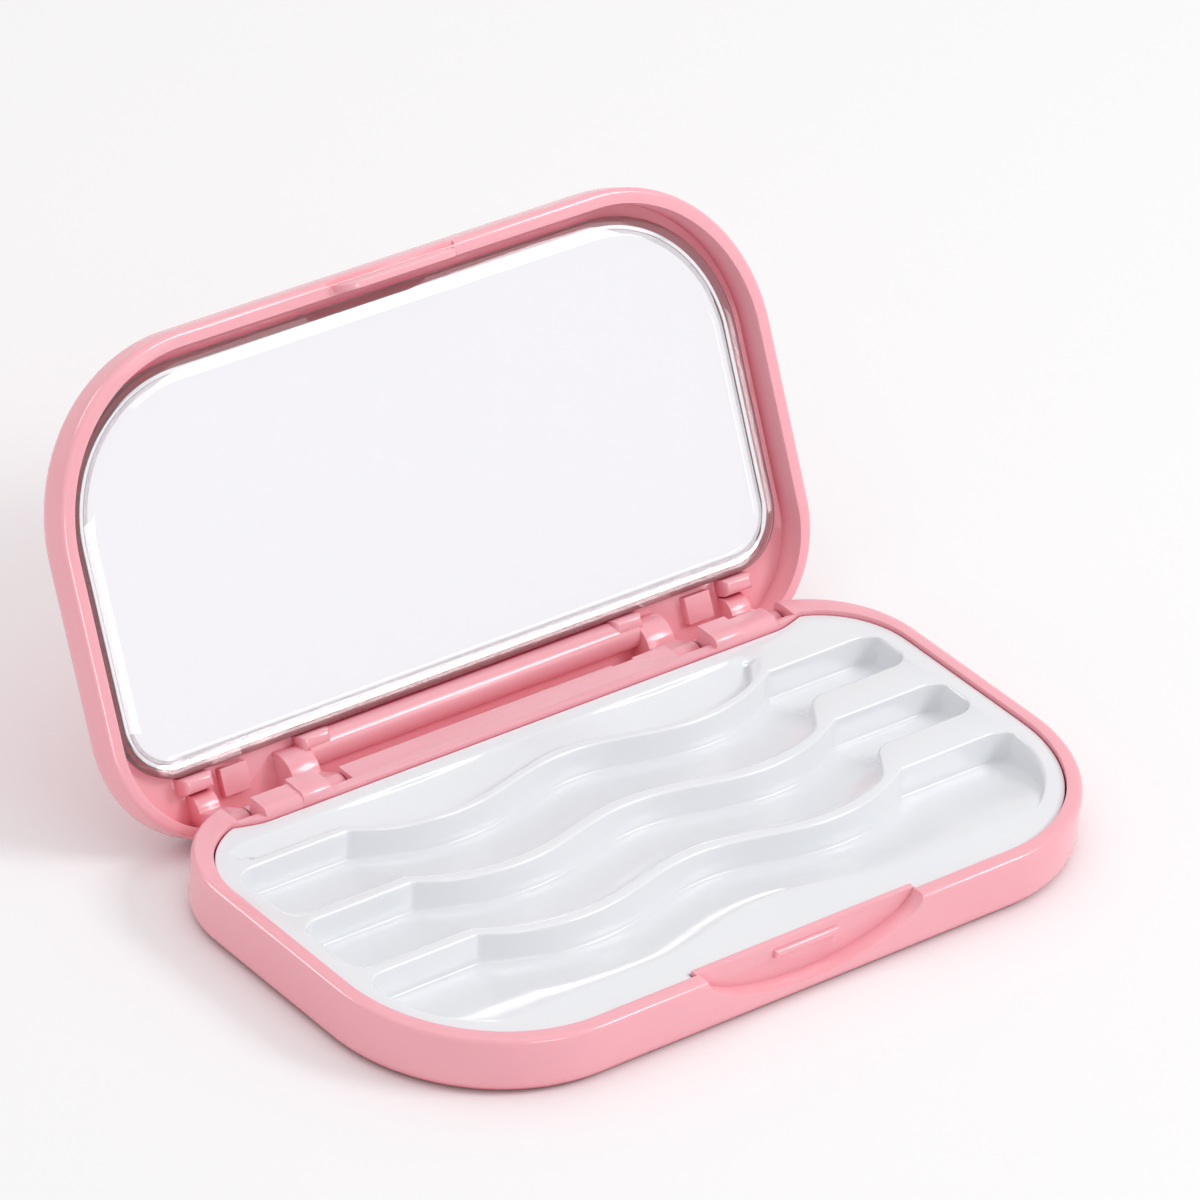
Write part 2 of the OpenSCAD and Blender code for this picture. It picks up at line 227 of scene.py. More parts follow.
def bayPlan(gap):
    w = case["width"] / 2 - case["wall"] - gap
    front = -case["depth"] / 2 + case["wall"] + gap
    rf = case["frontR"] - case["wall"] - gap
    rr = bay["rearR"] - gap
    back = bay["rearY"] + bay["stepBack"] - gap
    n = case["cornerSteps"]
    notch, nose = bay["scoopHalf"] + gap, bay["scoopY"] + gap
    side = []
    steps = 14
    for i in range(steps + 1):
        t = i / steps
        x = bay["stepTo"] + (bay["stepFrom"] - bay["stepTo"]) * t
        y = bay["rearY"] - gap + bay["stepBack"] * smooth(1 - t)
        past = max(x - (w - rr), 0)
        side.append((x, min(y, back - rr + sqrt(max(rr * rr - past * past, 0)))))
    corner = [p for p in arc(w - rr, back - rr, rr, 0, 90, n) if p[0] > bay["stepTo"] + 0.1]
    right = corner + side
    return (arc(-w + rf, front + rf, rf, 180, 270, n)
            + [(-notch, front), (-notch, nose), (notch, nose), (notch, front)]
            + arc(w - rf, front + rf, rf, 270, 360, n) + right + [(-x, y) for x, y in reversed(right)])


# base shell

base = {
    "floor": 1.6,
    "rearY": 31.85,
    "rearR": 15.6,
    "lipWidth": 1.2,                     # thin lip along the rear of the tray
    "lipZ": 8.3,
    "lipCut": 3,                         # the cut over the lip starts this far in front of the bay's rear
    "ledgeZ": 7.8,
    "ledgeRearY": 31.15,                 # a narrow gap is left behind the ledge, between the hinges
    "armZ": 9.3,
    "armStep": 0.3,                      # the inner half of an arm is taller and longer
    "armSplit": 36.5,
    "armLength": (3.6, 4.2),
    "armRound": 1.2,
    "armSunk": 0.8,                      # how far the arms run into the floor
    "armOverlap": 0.01,
    "notchX": (18, 21.5),
    "notchDepth": 1.1,
    "softEdge": 0.32,
}
scoop = {
    "half": 17.8,
    "drop": 6,
    "faceY": -29.9,
    "ribHalf": 5.2,
    "ribZ": 6.7,
    "ribThick": 1.15,
    "ribOut": 0.65,
    "ribSunk": 0.4,
    "ribRound": 0.45,
    "mouth": 3,                          # the cut runs out this far above the rim
    "lift": 0.2,                         # the ends of the smile start this far above the rim
    "curve": 0.55,                       # 0.5 would be half an ellipse
    "steps": 44,
}


def armProfile(top, length):
    # side view of a hinge arm, from the tray back to the barrel that holds the pin
    front, r = bay["rearY"], base["armRound"]
    meets = degrees(acos((front + length - hinge["y"]) / hinge["barrelR"]))
    return ([(front, base["floor"] - base["armSunk"])] + arc(front + r, top - r, r, 180, 90, 6)
            + [(front + length, top)] + arc(hinge["y"], hinge["z"], hinge["barrelR"], meets, -90, 14)
            + [(hinge["y"], base["floor"] - base["armSunk"])])


def makeBase():
    shell = prism("baseShell", casePlan(0, base["rearY"], base["rearR"]), 0, case["rimZ"])
    bevelWhere(shell, sharpAt(0), case["edgeR"], 7)
    bevelWhere(shell, sharpAt(case["rimZ"]), case["rimR"], 4)
    lipBack = bay["rearY"] + base["lipWidth"]
    slotY = hinge["y"] - hinge["barrelR"] - hinge["slotGap"]
    out, tall = hinge["slotOut"], case["topZ"] + case["overTop"]
    cut(shell,
        block("ledge", (-out, lipBack, base["ledgeZ"]), (out, beyond, tall)),
        block("lip", (-out, bay["rearY"] - base["lipCut"], base["lipZ"]), (out, beyond, tall)),
        block("gap", (-hinge["slotIn"], base["ledgeRearY"], base["floor"]), (hinge["slotIn"], beyond, tall)),
        block("notch", (base["notchX"][0], base["rearY"] - base["notchDepth"], base["floor"]),
              (base["notchX"][1], beyond, tall)))
    for side in (-1, 1):
        x = sorted((side * hinge["slotIn"], side * hinge["slotOut"]))
        cut(shell, block("slot", (x[0], slotY, base["floor"]), (x[1], beyond, tall)))
    # the rear edge is round about the hinge, so the lid can turn past it
    swing = case["rimZ"] - hinge["z"]
    relief = arc(hinge["y"], hinge["z"], swing, 0, 90, 16)
    relief += [(hinge["y"], tall), (beyond, tall), (beyond, hinge["z"])]
    cut(shell, prism("relief", relief, -beyond, beyond, "X"))
    # thumb scoop in the front wall
    half, rim = scoop["half"], case["rimZ"]
    smile = [(-half, rim + scoop["mouth"])]
    steps = scoop["steps"]
    for i in range(steps + 1):
        x = half * sin(radians(-90 + 180 * i / steps))
        deep = max(1 - (x / half) ** 2, 0) ** scoop["curve"]
        smile.append((x, rim + scoop["lift"] - scoop["drop"] * deep))
    smile.append((half, rim + scoop["mouth"]))
    cut(shell, prism("scoop", smile, -beyond, scoop["faceY"], "Y"))
    # each arm has a short outer half and a taller, longer inner half
    for side in (-1, 1):
        for x0, x1, top, length in (
                (base["armSplit"] - base["armOverlap"], hinge["armOut"], base["armZ"], base["armLength"][0]),
                (hinge["armIn"], base["armSplit"], base["armZ"] + base["armStep"], base["armLength"][1])):
            x = sorted((side * x0, side * x1))
            fuse(shell, prism("arm", armProfile(top, length), x[0], x[1], "X"))
    cut(shell, prism("bay", bayPlan(0), base["floor"], tall))
    # rib that the lid's hook snaps over
    ribY = scoop["faceY"] - scoop["ribOut"]
    thick = scoop["ribThick"] / 2
    rib = block("rib", (-scoop["ribHalf"], ribY, scoop["ribZ"] - thick),
                (scoop["ribHalf"], scoop["faceY"] + scoop["ribSunk"], scoop["ribZ"] + thick))
    bevelWhere(rib, lambda e: edgeMiddle(e).y < ribY + hair, scoop["ribRound"], 4)
    fuse(shell, rib)
    soften(shell, base["softEdge"])
    return shell


baseShell = makeBase()
print("base shell", len(baseShell.data.polygons), "faces")


# lid shell, made closed and then turned open

lid = {
    "roofZ": 12.6,
    "rearWall": 1.5,
    "rollY": 25.9,
    "rollZ": 12.3,
    "rollR": 2.3,
    "rollOver": 0.3,                     # the roll runs this far past the hinge slots' inner ends
    "sunk": 0.5,                         # how far cheeks and roll run into the roof, and cheeks into the wall
    "lugSunk": 0.3,
    "cheekGap": 0.25,
    "cheekInset": 0.12,                  # the cheeks stay this far inside the outline
    "cheekStep": 2.5,                    # and step in under the rounded edge of the roof
    "gussetInner": 3.7,
    "gussetOuter": 2.5,
    "lugX": (26, 44.9),
    "lugY": 23.45,
    "lugSize": (4.6, 2.2, 2.6),
    "lugRound": 0.85,
    "padX": 38.6,
    "padY": 25.9,
    "padSize": (4.2, 3.7, 1.2),
    "softEdge": 0.32,
}
hook = {
    "half": 9.6,
    "drop": 3.1,
    "y": -31.5,
    "thick": 0.85,
    "round": 2.6,
    "notch": 0.4,
    "sideGap": 0.8,
    "notchGap": 0.1,
}


def cheekProfile(gusset):
    # side view of a hinge cheek: barrel, web and a round gusset under the roof
    y, z, r = hinge["y"], hinge["z"], hinge["barrelR"]
    roof = lid["roofZ"] + lid["sunk"]
    step = roof - lid["cheekStep"]
    inWall = case["depth"] / 2 - lid["rearWall"] + lid["sunk"]
    return (arc(y, z, r, 180, 360, 12)
            + [(y + r, step), (inWall, step), (inWall, roof), (y - r - gusset, roof)]
            + arc(y - r, lid["roofZ"], gusset, 180, 270, 8))


def makeCheek(x0, x1, gusset):
    # clipped by the outline, so that it doesn't stand out at the round rear corners
    cheek = prism("cheek", cheekProfile(gusset), x0, x1, "X")
    inset = lid["cheekInset"]
    useOn(cheek, prism("form", casePlan(inset, case["depth"] / 2 - inset), 0, case["topZ"]), "INTERSECT")
    return cheek


def makeLid():
    depth, rim = case["depth"] / 2, case["rimZ"]
    shell = prism("lidShell", casePlan(0, depth), rim, case["topZ"])
    bevelWhere(shell, sharpAt(case["topZ"]), case["edgeR"], 7)
    bevelWhere(shell, sharpAt(rim), case["rimR"], 4)
    inner = roundedPlan(case["width"] / 2 - case["wall"], -depth + case["wall"], depth - lid["rearWall"],
                        case["frontR"] - case["wall"], case["rearR"] - case["wall"])
    cut(shell,
        prism("hollow", inner, rim - 3, lid["roofZ"]),
        block("notch", (-hook["half"] - hook["sideGap"], -depth - 1, rim - 1),
              (hook["half"] + hook["sideGap"], hook["y"] - hook["notchGap"], rim + hook["notch"])))
    # half round roll along the rear, between the hinges
    roll = arc(lid["rollY"], lid["rollZ"], lid["rollR"], 180, 360, 16)
    rollTop = lid["roofZ"] + lid["sunk"]
    roll += [(lid["rollY"] + lid["rollR"], rollTop), (lid["rollY"] - lid["rollR"], rollTop)]
    reach = hinge["slotIn"] + lid["rollOver"]
    fuse(shell, prism("roll", roll, -reach, reach, "X"))
    gap = lid["cheekGap"]
    w, d, h = lid["lugSize"]
    pw, pd, ph = lid["padSize"]
    for side in (-1, 1):
        for x0, x1, gusset in ((hinge["slotIn"] + gap, hinge["armIn"] - gap, lid["gussetInner"]),
                               (hinge["armOut"] + gap, hinge["slotOut"] - gap, lid["gussetOuter"])):
            x = sorted((side * x0, side * x1))
            fuse(shell, makeCheek(x[0], x[1], gusset))
        for lugX in lid["lugX"]:
            low = lid["roofZ"] - h
            lug = block("lug", (side * lugX - w / 2, lid["lugY"], low),
                        (side * lugX + w / 2, lid["lugY"] + d, lid["roofZ"] + lid["lugSunk"]))
            bevelWhere(lug, lambda e: abs(edgeMiddle(e).z - low) < hair, lid["lugRound"], 4)
            fuse(shell, lug)
        fuse(shell, block("pad", (side * lid["padX"] - pw / 2, lid["padY"] - pd / 2, lid["roofZ"] - ph),
                          (side * lid["padX"] + pw / 2, lid["padY"] + pd / 2, lid["roofZ"] + lid["lugSunk"])))
    # hook that snaps over the rib in the scoop
    low, half, r = rim - hook["drop"], hook["half"], hook["round"]
    lip = arc(-half + r, low + r, r, 180, 270, 8) + arc(half - r, low + r, r, 270, 360, 8)
    lip += [(half, rim + 1), (-half, rim + 1)]
    fuse(shell, prism("hook", lip, hook["y"], hook["y"] + hook["thick"], "Y"))
    soften(shell, lid["softEdge"])
    openUp(shell)
    return shell


lidShell = makeLid()
print("lid shell", len(lidShell.data.polygons), "faces")


# lash tray: one wavy field set into a flat rim

tray = {
    "topZ": 7.8,
    "bottomZ": 1.6,
    "gap": 0.2,
    "ridges": (19.1, 5.667, -7.767),     # where each cliff stands at its straight ends
    "pitch": 13.433,
    "rim": 1.6,                          # low rim behind each cliff
    "rimRight": 6.0,                     # and how wide it grows past the waves on the right
    "rimGrows": (31, 6),                 # from this x, over this length
    "rimStep": 0.35,                     # how far the floor ends below the rim
    "shelfRim": 1.3,
    "floorZ": 3.4,
    "pocketRise": 1.1,                   # climb of the floor in the pockets on the right
    "pocketFrom": (33, 4.5),             # from this x, over this length
    "softCrestY": -19.9,                 # where the front floor comes up to the top
    "inset": 5,
    "rearY": 23.9,
    "rearR": 3,
    "shelfDepth": 2.4,
    "shelfLeft": -51,
    "shelfRight": 35.6,
    "shelfSlant": 2.2,
    "shelfLeftRound": 1.4,
    "shelfEnds": (1.2, 1),               # length of the slope at the left and right end
    "shelfSaddle": 0.12,                 # share of the depth that is left between the lobes
    "shelfStraight": 0.3,                # past the waves
    "shelfRear": 0.3,                    # and along the rear edge
    "shelfNarrowest": 1.9,
    "cornerR": 1.5,                      # round of the corners from above, and how far along it reaches
    "cornerReach": 3.2,
    "waveHalf": 35,
    "wavePeak": 20,
    "waveFall": 2.2,
    "bulge": 4.1,
    "middle": 0.9,
    "kinks": (34.5, 35.35),              # more columns where the waves end
    "footShift": 1.6,                    # the foot of a cliff runs a little further right
    "shiftFades": 1.6,                   # how fast that shift fades along the floor
    "cliffOut": 0.15,                    # a cliff stands this far in front of its ridge's line
    "floorStart": 1,                     # and the floor's rows are spaced from this far in front of it
    "draft": 0.3,
    "softEdge": 0.45,
}

# across an end wall: distance in from the recess's edge, and share of the wall's height
endWall = ((3.1, 0), (2.5, 0), (1.9, 0), (1.4, 0), (1.0, 0.01), (0.75, 0.04), (0.58, 0.11),
           (0.46, 0.24), (0.38, 0.42), (0.29, 0.66), (0.18, 0.86), (0.02, 0.97), (-0.25, 1), (-0.6, 1))

# round edges along the rows: distance from the edge, and drop or rise in millimetres
crestRound = ((-0.8, 0), (-0.3, 0), (-0.12, 0.015), (-0.01, 0.06), (0.08, 0.16), (0.13, 0.3))
footRound = ((0, 0.34), (0.05, 0.2), (0.14, 0.09), (0.28, 0.03), (0.5, 0))
# or share of the height there
backRound = ((0.7, 0), (0.42, 0.05), (0.22, 0.16), (0.05, 0.4), (-0.08, 0.66), (-0.22, 0.86),
             (-0.42, 0.97), (-0.65, 1))
shelfRearRound = ((-0.45, 0), (-0.2, 0), (0, 0.08), (0.15, 0.35), (0.3, 0.7), (0.5, 1))
shelfFrontRound = ((0.55, 0), (0.3, 0.2), (0.1, 0.5), (-0.15, 0.85), (-0.45, 1))


def wave(x):
    # how far a ridge lies from its straight ends
    a, peak, half = abs(x), tray["wavePeak"], tray["waveHalf"]
    if a >= half:
        return 0
    if a <= peak:
        return -tray["middle"] - (tray["bulge"] - tray["middle"]) * (1 - cos(pi * a / peak)) / 2
    return -tray["bulge"] * (1 - ((a - peak) / (half - peak)) ** tray["waveFall"])


def softCrest(x):
    return tray["softCrestY"] + (wave(x) if abs(x) < tray["wavePeak"] else -tray["bulge"])


def halfWidth(y):
    # half width of the recess at y, with its round corners
    w = case["width"] / 2 - tray["inset"]
    rf, rr = case["frontR"] - tray["inset"], tray["rearR"]
    front = -case["depth"] / 2 + tray["inset"] + rf
    back = tray["rearY"] - rr
    if y < front:
        return w - rf + sqrt(max(rf * rf - (front - y) ** 2, 0))
    if y > back:
        return w - rr + sqrt(max(rr * rr - min(y - back, rr) ** 2, 0))
    return w


def rimWidth(x):
    start, length = tray["rimGrows"]
    return tray["rim"] + (tray["rimRight"] - tray["rim"]) * smooth((x - start) / length)


def footX(x, share):
    # where a point of the crest meets the foot, for a share of the cliff's height
    return x - share * tray["footShift"] * max(1 - (abs(x) / tray["waveHalf"]) ** 4, 0)


def shelfZ(x, share):
    # shallow shelf behind the first ridge: it falls towards the ridge, in two lobes with a saddle between
    forward = -wave(x)
    if abs(x) < tray["wavePeak"]:
        rise = (forward - tray["middle"]) / (tray["bulge"] - tray["middle"])
        lobe = tray["shelfSaddle"] + (1 - tray["shelfSaddle"]) * rise
    else:
        lobe = tray["shelfStraight"] + (1 - tray["shelfStraight"]) * forward / tray["bulge"]
    left = tray["shelfLeft"] + tray["shelfLeftRound"] * abs(2 * share - 1) ** 4
    right = tray["shelfRight"] - tray["shelfSlant"] * (1 - share)
    ends = smooth((x - left) / tray["shelfEnds"][0]) * smooth((right - x) / tray["shelfEnds"][1])
    fall = tray["shelfRear"] + (1 - tray["shelfRear"]) * share
    return tray["topZ"] - tray["shelfDepth"] * lobe * fall * ends


def shelfFront(x):
    # the rim widens past the waves on the right, and pinches the shelf off there
    y = tray["ridges"][0] + wave(x) + tray["shelfRim"] + rimWidth(x) - tray["rim"]
    return min(y, tray["rearY"] - tray["shelfNarrowest"])


def shelfRows():
    # each row gives y and z for an x, with 1 or -1 where its ends bend to the back or the front
    top = tray["topZ"]
    rows = []
    for inward, part in shelfRearRound:
        rows.append((lambda x, inward=inward, part=part:
                     (tray["rearY"] - inward, top + (shelfZ(x, 0) - top) * part), 0))
    for i in range(1, 10):
        def slope(x, share=i / 10):
            start = tray["rearY"] - shelfRearRound[-1][0]
            end = shelfFront(x) + shelfFrontRound[0][0]
            return start + (end - start) * share, shelfZ(x, share)
        rows.append((slope, 0))
    for s, part in shelfFrontRound:
        rows.append((lambda x, s=s, part=part:
                     (shelfFront(x) + s, shelfZ(x, 1) + (top - shelfZ(x, 1)) * part), 0))
    return rows


def ridgeRows(ridge, isLast):
    # rim, cliff, foot, then the floor climbing to the back of the next rim
    top, low, draft = tray["topZ"], tray["floorZ"], tray["draft"]
    drop, rise = crestRound[-1][1], footRound[0][1]
    rows = []
    for s, down in crestRound:
        rows.append((lambda x, s=s, down=down: (ridge + wave(x) - s, top - down), -1))
    for i in range(1, 5):
        def cliff(x, share=i / 5):
            z = top - drop + (low + rise - top + drop) * share
            return ridge + wave(footX(x, share)) - tray["cliffOut"] - draft * share, z
        rows.append((cliff, -1))

    def floorZ(x, y):
        # the floor climbs away from the cliff and follows its wave; the pockets on the right are nearly level
        ahead = ridge + wave(x) - y
        bend = 0.3
        u = ahead / ((ridge + wave(x) - softCrest(x)) if isLast else (tray["pitch"] - tray["rim"]))
        u = min(max(u, 0), 1)
        share = (u ** 2 / (2 * bend) if u < bend else u - bend / 2) / (1 - bend / 2)
        if isLast:
            return low + (top - low) * (0.7 * share + 0.3 * smooth(share))
        slope = (top - tray["rimStep"] - low) * share
        level = tray["pocketRise"] * min(ahead / (tray["pitch"] - tray["rimRight"]), 1.3)
        return low + slope + (level - slope) * smooth((x - tray["pocketFrom"][0]) / tray["pocketFrom"][1])

    for s, up in footRound:
        def foot(x, s=s, up=up):
            y = ridge + wave(footX(x, 1)) - tray["cliffOut"] - draft - s
            return y, floorZ(x, y) + up
        rows.append((foot, -1))
    steps = 12
    for i in range(1, steps):
        def floor(x, t=i / steps):
            start = ridge + wave(footX(x, max(1 - tray["shiftFades"] * t, 0))) - tray["floorStart"] - draft
            end = ridge + wave(x) - tray["pitch"] + rimWidth(x) + backRound[0][0]
            if isLast:
                end = softCrest(x)
            y = start + (end - start) * t
            return y, floorZ(x, y)
        rows.append((floor, i / steps - 1 if isLast else 2 * i / steps - 1))
    if isLast:
        return rows + [(lambda x: (softCrest(x), top), 0), (lambda x: (softCrest(x) - 0.5, top), 0)]
    for s, part in backRound:
        def back(x, s=s, part=part):
            y = ridge + wave(x) - tray["pitch"] + rimWidth(x) + s
            z = floorZ(x, y)
            return y, z + (top - z) * part
        rows.append((back, 1))
    return rows


def makeTray():
    rows = shelfRows()
    for ridge in tray["ridges"]:
        rows += ridgeRows(ridge, ridge == tray["ridges"][-1])
    calm = int(tray["waveHalf"]) + 2     # columns keep their place up to here, then follow the end walls
    inner = sorted([float(i) for i in range(-calm, calm + 1)]
                   + [side * x for side in (-1, 1) for x in tray["kinks"]])
    outward = 9
    count = len(inner) + 2 * (outward + len(endWall))
    bpy.ops.object.select_all(action="DESELECT")
    bpy.ops.mesh.primitive_grid_add(x_subdivisions=count - 1, y_subdivisions=len(rows) - 1, size=2)
    field = bpy.context.object
    field.name = "lashTray"
    points = sorted(field.data.vertices, key=lambda v: (-round(v.co.y, 5), round(v.co.x, 5)))
    for r, (row, bend) in enumerate(rows):
        edge = halfWidth(row(beyond)[0])
        room = edge - endWall[0][0] - calm
        right = [(calm + room * (i + 1) / (outward + 1), 0) for i in range(outward)]
        right += [(edge - inward, part) for inward, part in endWall]
        line = [(-x, part) for x, part in reversed(right)] + [(x, 0) for x in inner] + right
        for c, (x, part) in enumerate(line):
            y, z = row(x)
            near = 1 - min(max((edge - abs(x)) / tray["cornerReach"], 0), 1)
            y += bend * tray["cornerR"] * near ** 2.5
            points[r * count + c].co = Vector((x, y, z + (tray["topZ"] - z) * part)) * mm
    # the rim joins the field to the tray's outline, then the skirt goes down to the floor
    outline = bayPlan(tray["gap"])
    bpy.ops.object.select_all(action="DESELECT")
    bpy.ops.mesh.primitive_circle_add(vertices=len(outline), radius=1, fill_type="NOTHING")
    ring = bpy.context.object
    for v, (x, y) in zip(ring.data.vertices, outline):
        v.co = Vector((x, y, tray["topZ"])) * mm
    only(field)
    ring.select_set(True)
    bpy.ops.object.join()
    bpy.ops.object.mode_set(mode="EDIT")
    pick("EDGE", lambda e: len(e.link_faces) < 2)
    bpy.ops.mesh.fill(use_beauty=True)
    pick("EDGE", lambda e: len(e.link_faces) == 1)
    drop = (0, 0, (tray["bottomZ"] - tray["topZ"]) * mm)
    bpy.ops.mesh.extrude_region_move(TRANSFORM_OT_translate={"value": drop})
    bpy.ops.mesh.edge_face_add()
    bpy.ops.mesh.select_all(action="SELECT")
    bpy.ops.mesh.normals_make_consistent(inside=False)
    bpy.ops.object.mode_set(mode="OBJECT")
    bevelWhere(field, sharpAt(tray["topZ"], 1.4), tray["softEdge"], 4)
    only(field)
    bpy.ops.object.shade_smooth_by_angle(angle=radians(50))
    return field


lashTray = makeTray()
print("lash tray", len(lashTray.data.polygons), "faces")


# mirror plate: clear acrylic with a ground border, silvered on the back inside it

plate = {
    "halfWidth": 54.2,
    "frontY": -28.45,
    "rearY": 23.25,
    "frontR": 20.2,
    "rearR": 8,
    "faceZ": 10.4,
    "backZ": 12.38,                      # a hair in front of the tape, so that only one of them is seen
    "bevelWidth": 2.6,
    "bevelDepth": 0.8,
    "clearEdge": 1.4,                    # the back is clear along its edge
    "silverBand": 0.5,                   # then silvered in a narrow band
    "clearLine": 0.6,                    # then clear in a fine line round the mirror
    "softEdge": 0.16,
}


def plateOutline():
    return roundedPlan(plate["halfWidth"], plate["frontY"], plate["rearY"], plate["frontR"], plate["rearR"])


def makeMirror():
    obj = prism("mirrorPlate", plateOutline(), plate["faceZ"], plate["backZ"])
    only(obj)
    bpy.ops.object.mode_set(mode="EDIT")
    # the face is inset, then its old edge is pushed back for the ground border
    pick("FACE", lambda f: f.normal.z < -0.9)
    bpy.ops.mesh.inset(thickness=plate["bevelWidth"] * mm)
    pick("FACE", lambda f: f.normal.z > 0.9)
    for width in (plate["clearEdge"], plate["silverBand"], plate["clearLine"]):
        bpy.ops.mesh.inset(thickness=width * mm)
    pick("EDGE", lambda e: edgeMiddle(e).z < plate["faceZ"] + hair
         and any(abs(f.normal.z) < 0.1 for f in e.link_faces))
    bpy.ops.transform.translate(value=(0, 0, plate["bevelDepth"] * mm))
    bpy.ops.object.mode_set(mode="OBJECT")
    bevelWhere(obj, lambda e: e.calc_face_angle() > radians(12)
               and abs(e.verts[0].co.z - e.verts[1].co.z) < 1e-6, plate["softEdge"], 3)
    only(obj)
    bpy.ops.object.shade_smooth_by_angle(angle=radians(30))
    openUp(obj)
    return obj


def distanceIn(x, y):
    # how far a point of the closed plate lies in from its outline
    outline = plateOutline()
    nearest = beyond
    for (ax, ay), (bx, by) in zip(outline, outline[1:] + outline[:1]):
        start, side = Vector((ax, ay)), Vector((bx - ax, by - ay))
        if side.length > 0:
            along = min(max((Vector((x, y)) - start).dot(side) / side.length_squared, 0), 1)
            nearest = min(nearest, (start + side * along - Vector((x, y))).length)
    return nearest


mirrorPlate = makeMirror()
print("mirror plate", len(mirrorPlate.data.polygons), "faces")


# materials

def toLinear(hexColour):
    parts = [int(hexColour[i:i + 2], 16) / 255 for i in (0, 2, 4)]
    return (*[c / 12.92 if c <= 0.04045 else ((c + 0.055) / 1.055) ** 2.4 for c in parts], 1)


def add(owner, kind, settings=None, **links):
    # one node of a material or the world, with its settings, and its inputs linked by name
    node = owner.node_tree.nodes.new(kind)
    for key, value in (settings or {}).items():
        if hasattr(node, key):
            setattr(node, key, value)
        else:
            node.inputs[key].default_value = value
    for key, source in links.items():
        owner.node_tree.links.new(node.inputs[key.replace("_", " ")], source)
    return node


def newMaterial(name):
    mat = bpy.data.materials.new(name)
    mat.use_nodes = True
    mat.node_tree.nodes.clear()
    return mat


def cloudedColour(mat, place, look):
    # two close shades that drift into each other over about 20 mm
    cloud = add(mat, "ShaderNodeTexNoise", {"Scale": look["cloudScale"], "Detail": 2}, Vector=place)
    colour = add(mat, "ShaderNodeMix", {"data_type": "RGBA"})
    colour.inputs[6].default_value = toLinear(look["colour"])
    colour.inputs[7].default_value = toLinear(look["deeper"])
    mat.node_tree.links.new(colour.inputs[0], cloud.outputs["Fac"])
    return colour.outputs[2]


def mouldedShine(mat, place, look):
    # fine rub marks vary the gloss, and a slow ripple bends what it mirrors
    low, high = look["roughness"]
    rub = add(mat, "ShaderNodeTexNoise", {"Scale": look["rubScale"], "Detail": 3}, Vector=place)
    shine = add(mat, "ShaderNodeMapRange",
                {"From Min": 0.35, "From Max": 0.65, "To Min": low, "To Max": high},
                Value=rub.outputs["Fac"])
    ripple = add(mat, "ShaderNodeTexNoise", {"Scale": look["rippleScale"], "Detail": 1}, Vector=place)
    bump = add(mat, "ShaderNodeBump", {"Strength": 1, "Distance": look["rippleDepth"]},
               Height=ripple.outputs["Fac"])
    return {"Roughness": shine.outputs["Result"], "Normal": bump.outputs["Normal"]}


pinkLook = {
    "colour": "F9B3BD",
    "deeper": "F5A9B4",
    "cloudScale": 45,
    "creviceShadeColour": "F08496",                 # painted shade: crevices are painted this darker pink and deep gaps this deep red, where little light reaches
    "gapShadeColour": "A0102A",
    "shadeReach": 0.003,               # how near a wall must be for the painted shade to darken the colour, in metres
    "deepShadeWhere": (0.08, 0.32),           # share of open space seen, from the painted deep red gap shade to the painted pink crevice shade
    "paleShadeWhere": (0.24, 0.7),         # and from there to the plain colour, without painted shade
    "rubScale": 900,
    "roughness": (0.11, 0.18),
    "ior": 1.54,
    "rippleScale": 260,                  # sink ripple about 4 mm long
    "rippleDepth": 0.00001,
    "soft": 0.12,
}


def mouldedPink():
    # glossy injection moulded ABS: even colour with shade painted into gaps and crevices, darker pink to deep
    # red, a soft glow at thin edges and faint flow ripple in the shine
    mat = newMaterial("glossy pink moulded ABS")
    place = add(mat, "ShaderNodeTexCoord").outputs["Object"]
    colour = cloudedColour(mat, place, pinkLook)
    # painted shade: an occlusion mask darkens the colour to pink in crevices and to deep red in deep gaps
    shadeOpenness = add(mat, "ShaderNodeAmbientOcclusion", {"samples": 8, "Distance": pinkLook["shadeReach"]})
    low, high = pinkLook["deepShadeWhere"]
    deep = add(mat, "ShaderNodeMapRange", {"From Min": low, "From Max": high}, Value=shadeOpenness.outputs["AO"])
    gap = add(mat, "ShaderNodeMix", {"data_type": "RGBA"})
    gap.inputs[6].default_value = toLinear(pinkLook["gapShadeColour"])
    gap.inputs[7].default_value = toLinear(pinkLook["creviceShadeColour"])
    mat.node_tree.links.new(gap.inputs[0], deep.outputs["Result"])
    low, high = pinkLook["paleShadeWhere"]
    shadeFade = add(mat, "ShaderNodeMapRange", {"From Min": low, "From Max": high},
                  Value=shadeOpenness.outputs["AO"])
    paintedShadeColour = add(mat, "ShaderNodeMix", {"data_type": "RGBA"})
    mat.node_tree.links.new(paintedShadeColour.inputs[0], shadeFade.outputs["Result"])
    mat.node_tree.links.new(paintedShadeColour.inputs[6], gap.outputs[2])
    mat.node_tree.links.new(paintedShadeColour.inputs[7], colour)
    shader = add(mat, "ShaderNodeBsdfPrincipled", {
        "IOR": pinkLook["ior"],
        "Subsurface Weight": pinkLook["soft"],
        "Subsurface Radius": (0.0030, 0.0010, 0.0012),
        "Subsurface Scale": 1,
    }, Base_Color=paintedShadeColour.outputs[2], **mouldedShine(mat, place, pinkLook))
    add(mat, "ShaderNodeOutputMaterial", Surface=shader.outputs[0])
    return mat


trayLook = {
    "colour": "EDEEF1",
    "deeper": "E7E9ED",
    "cloudScale": 60,
    "rubScale": 700,
    "roughness": (0.08, 0.17),
    "ior": 1.59,
    "rippleScale": 180,
    "rippleDepth": 0.00002,
}


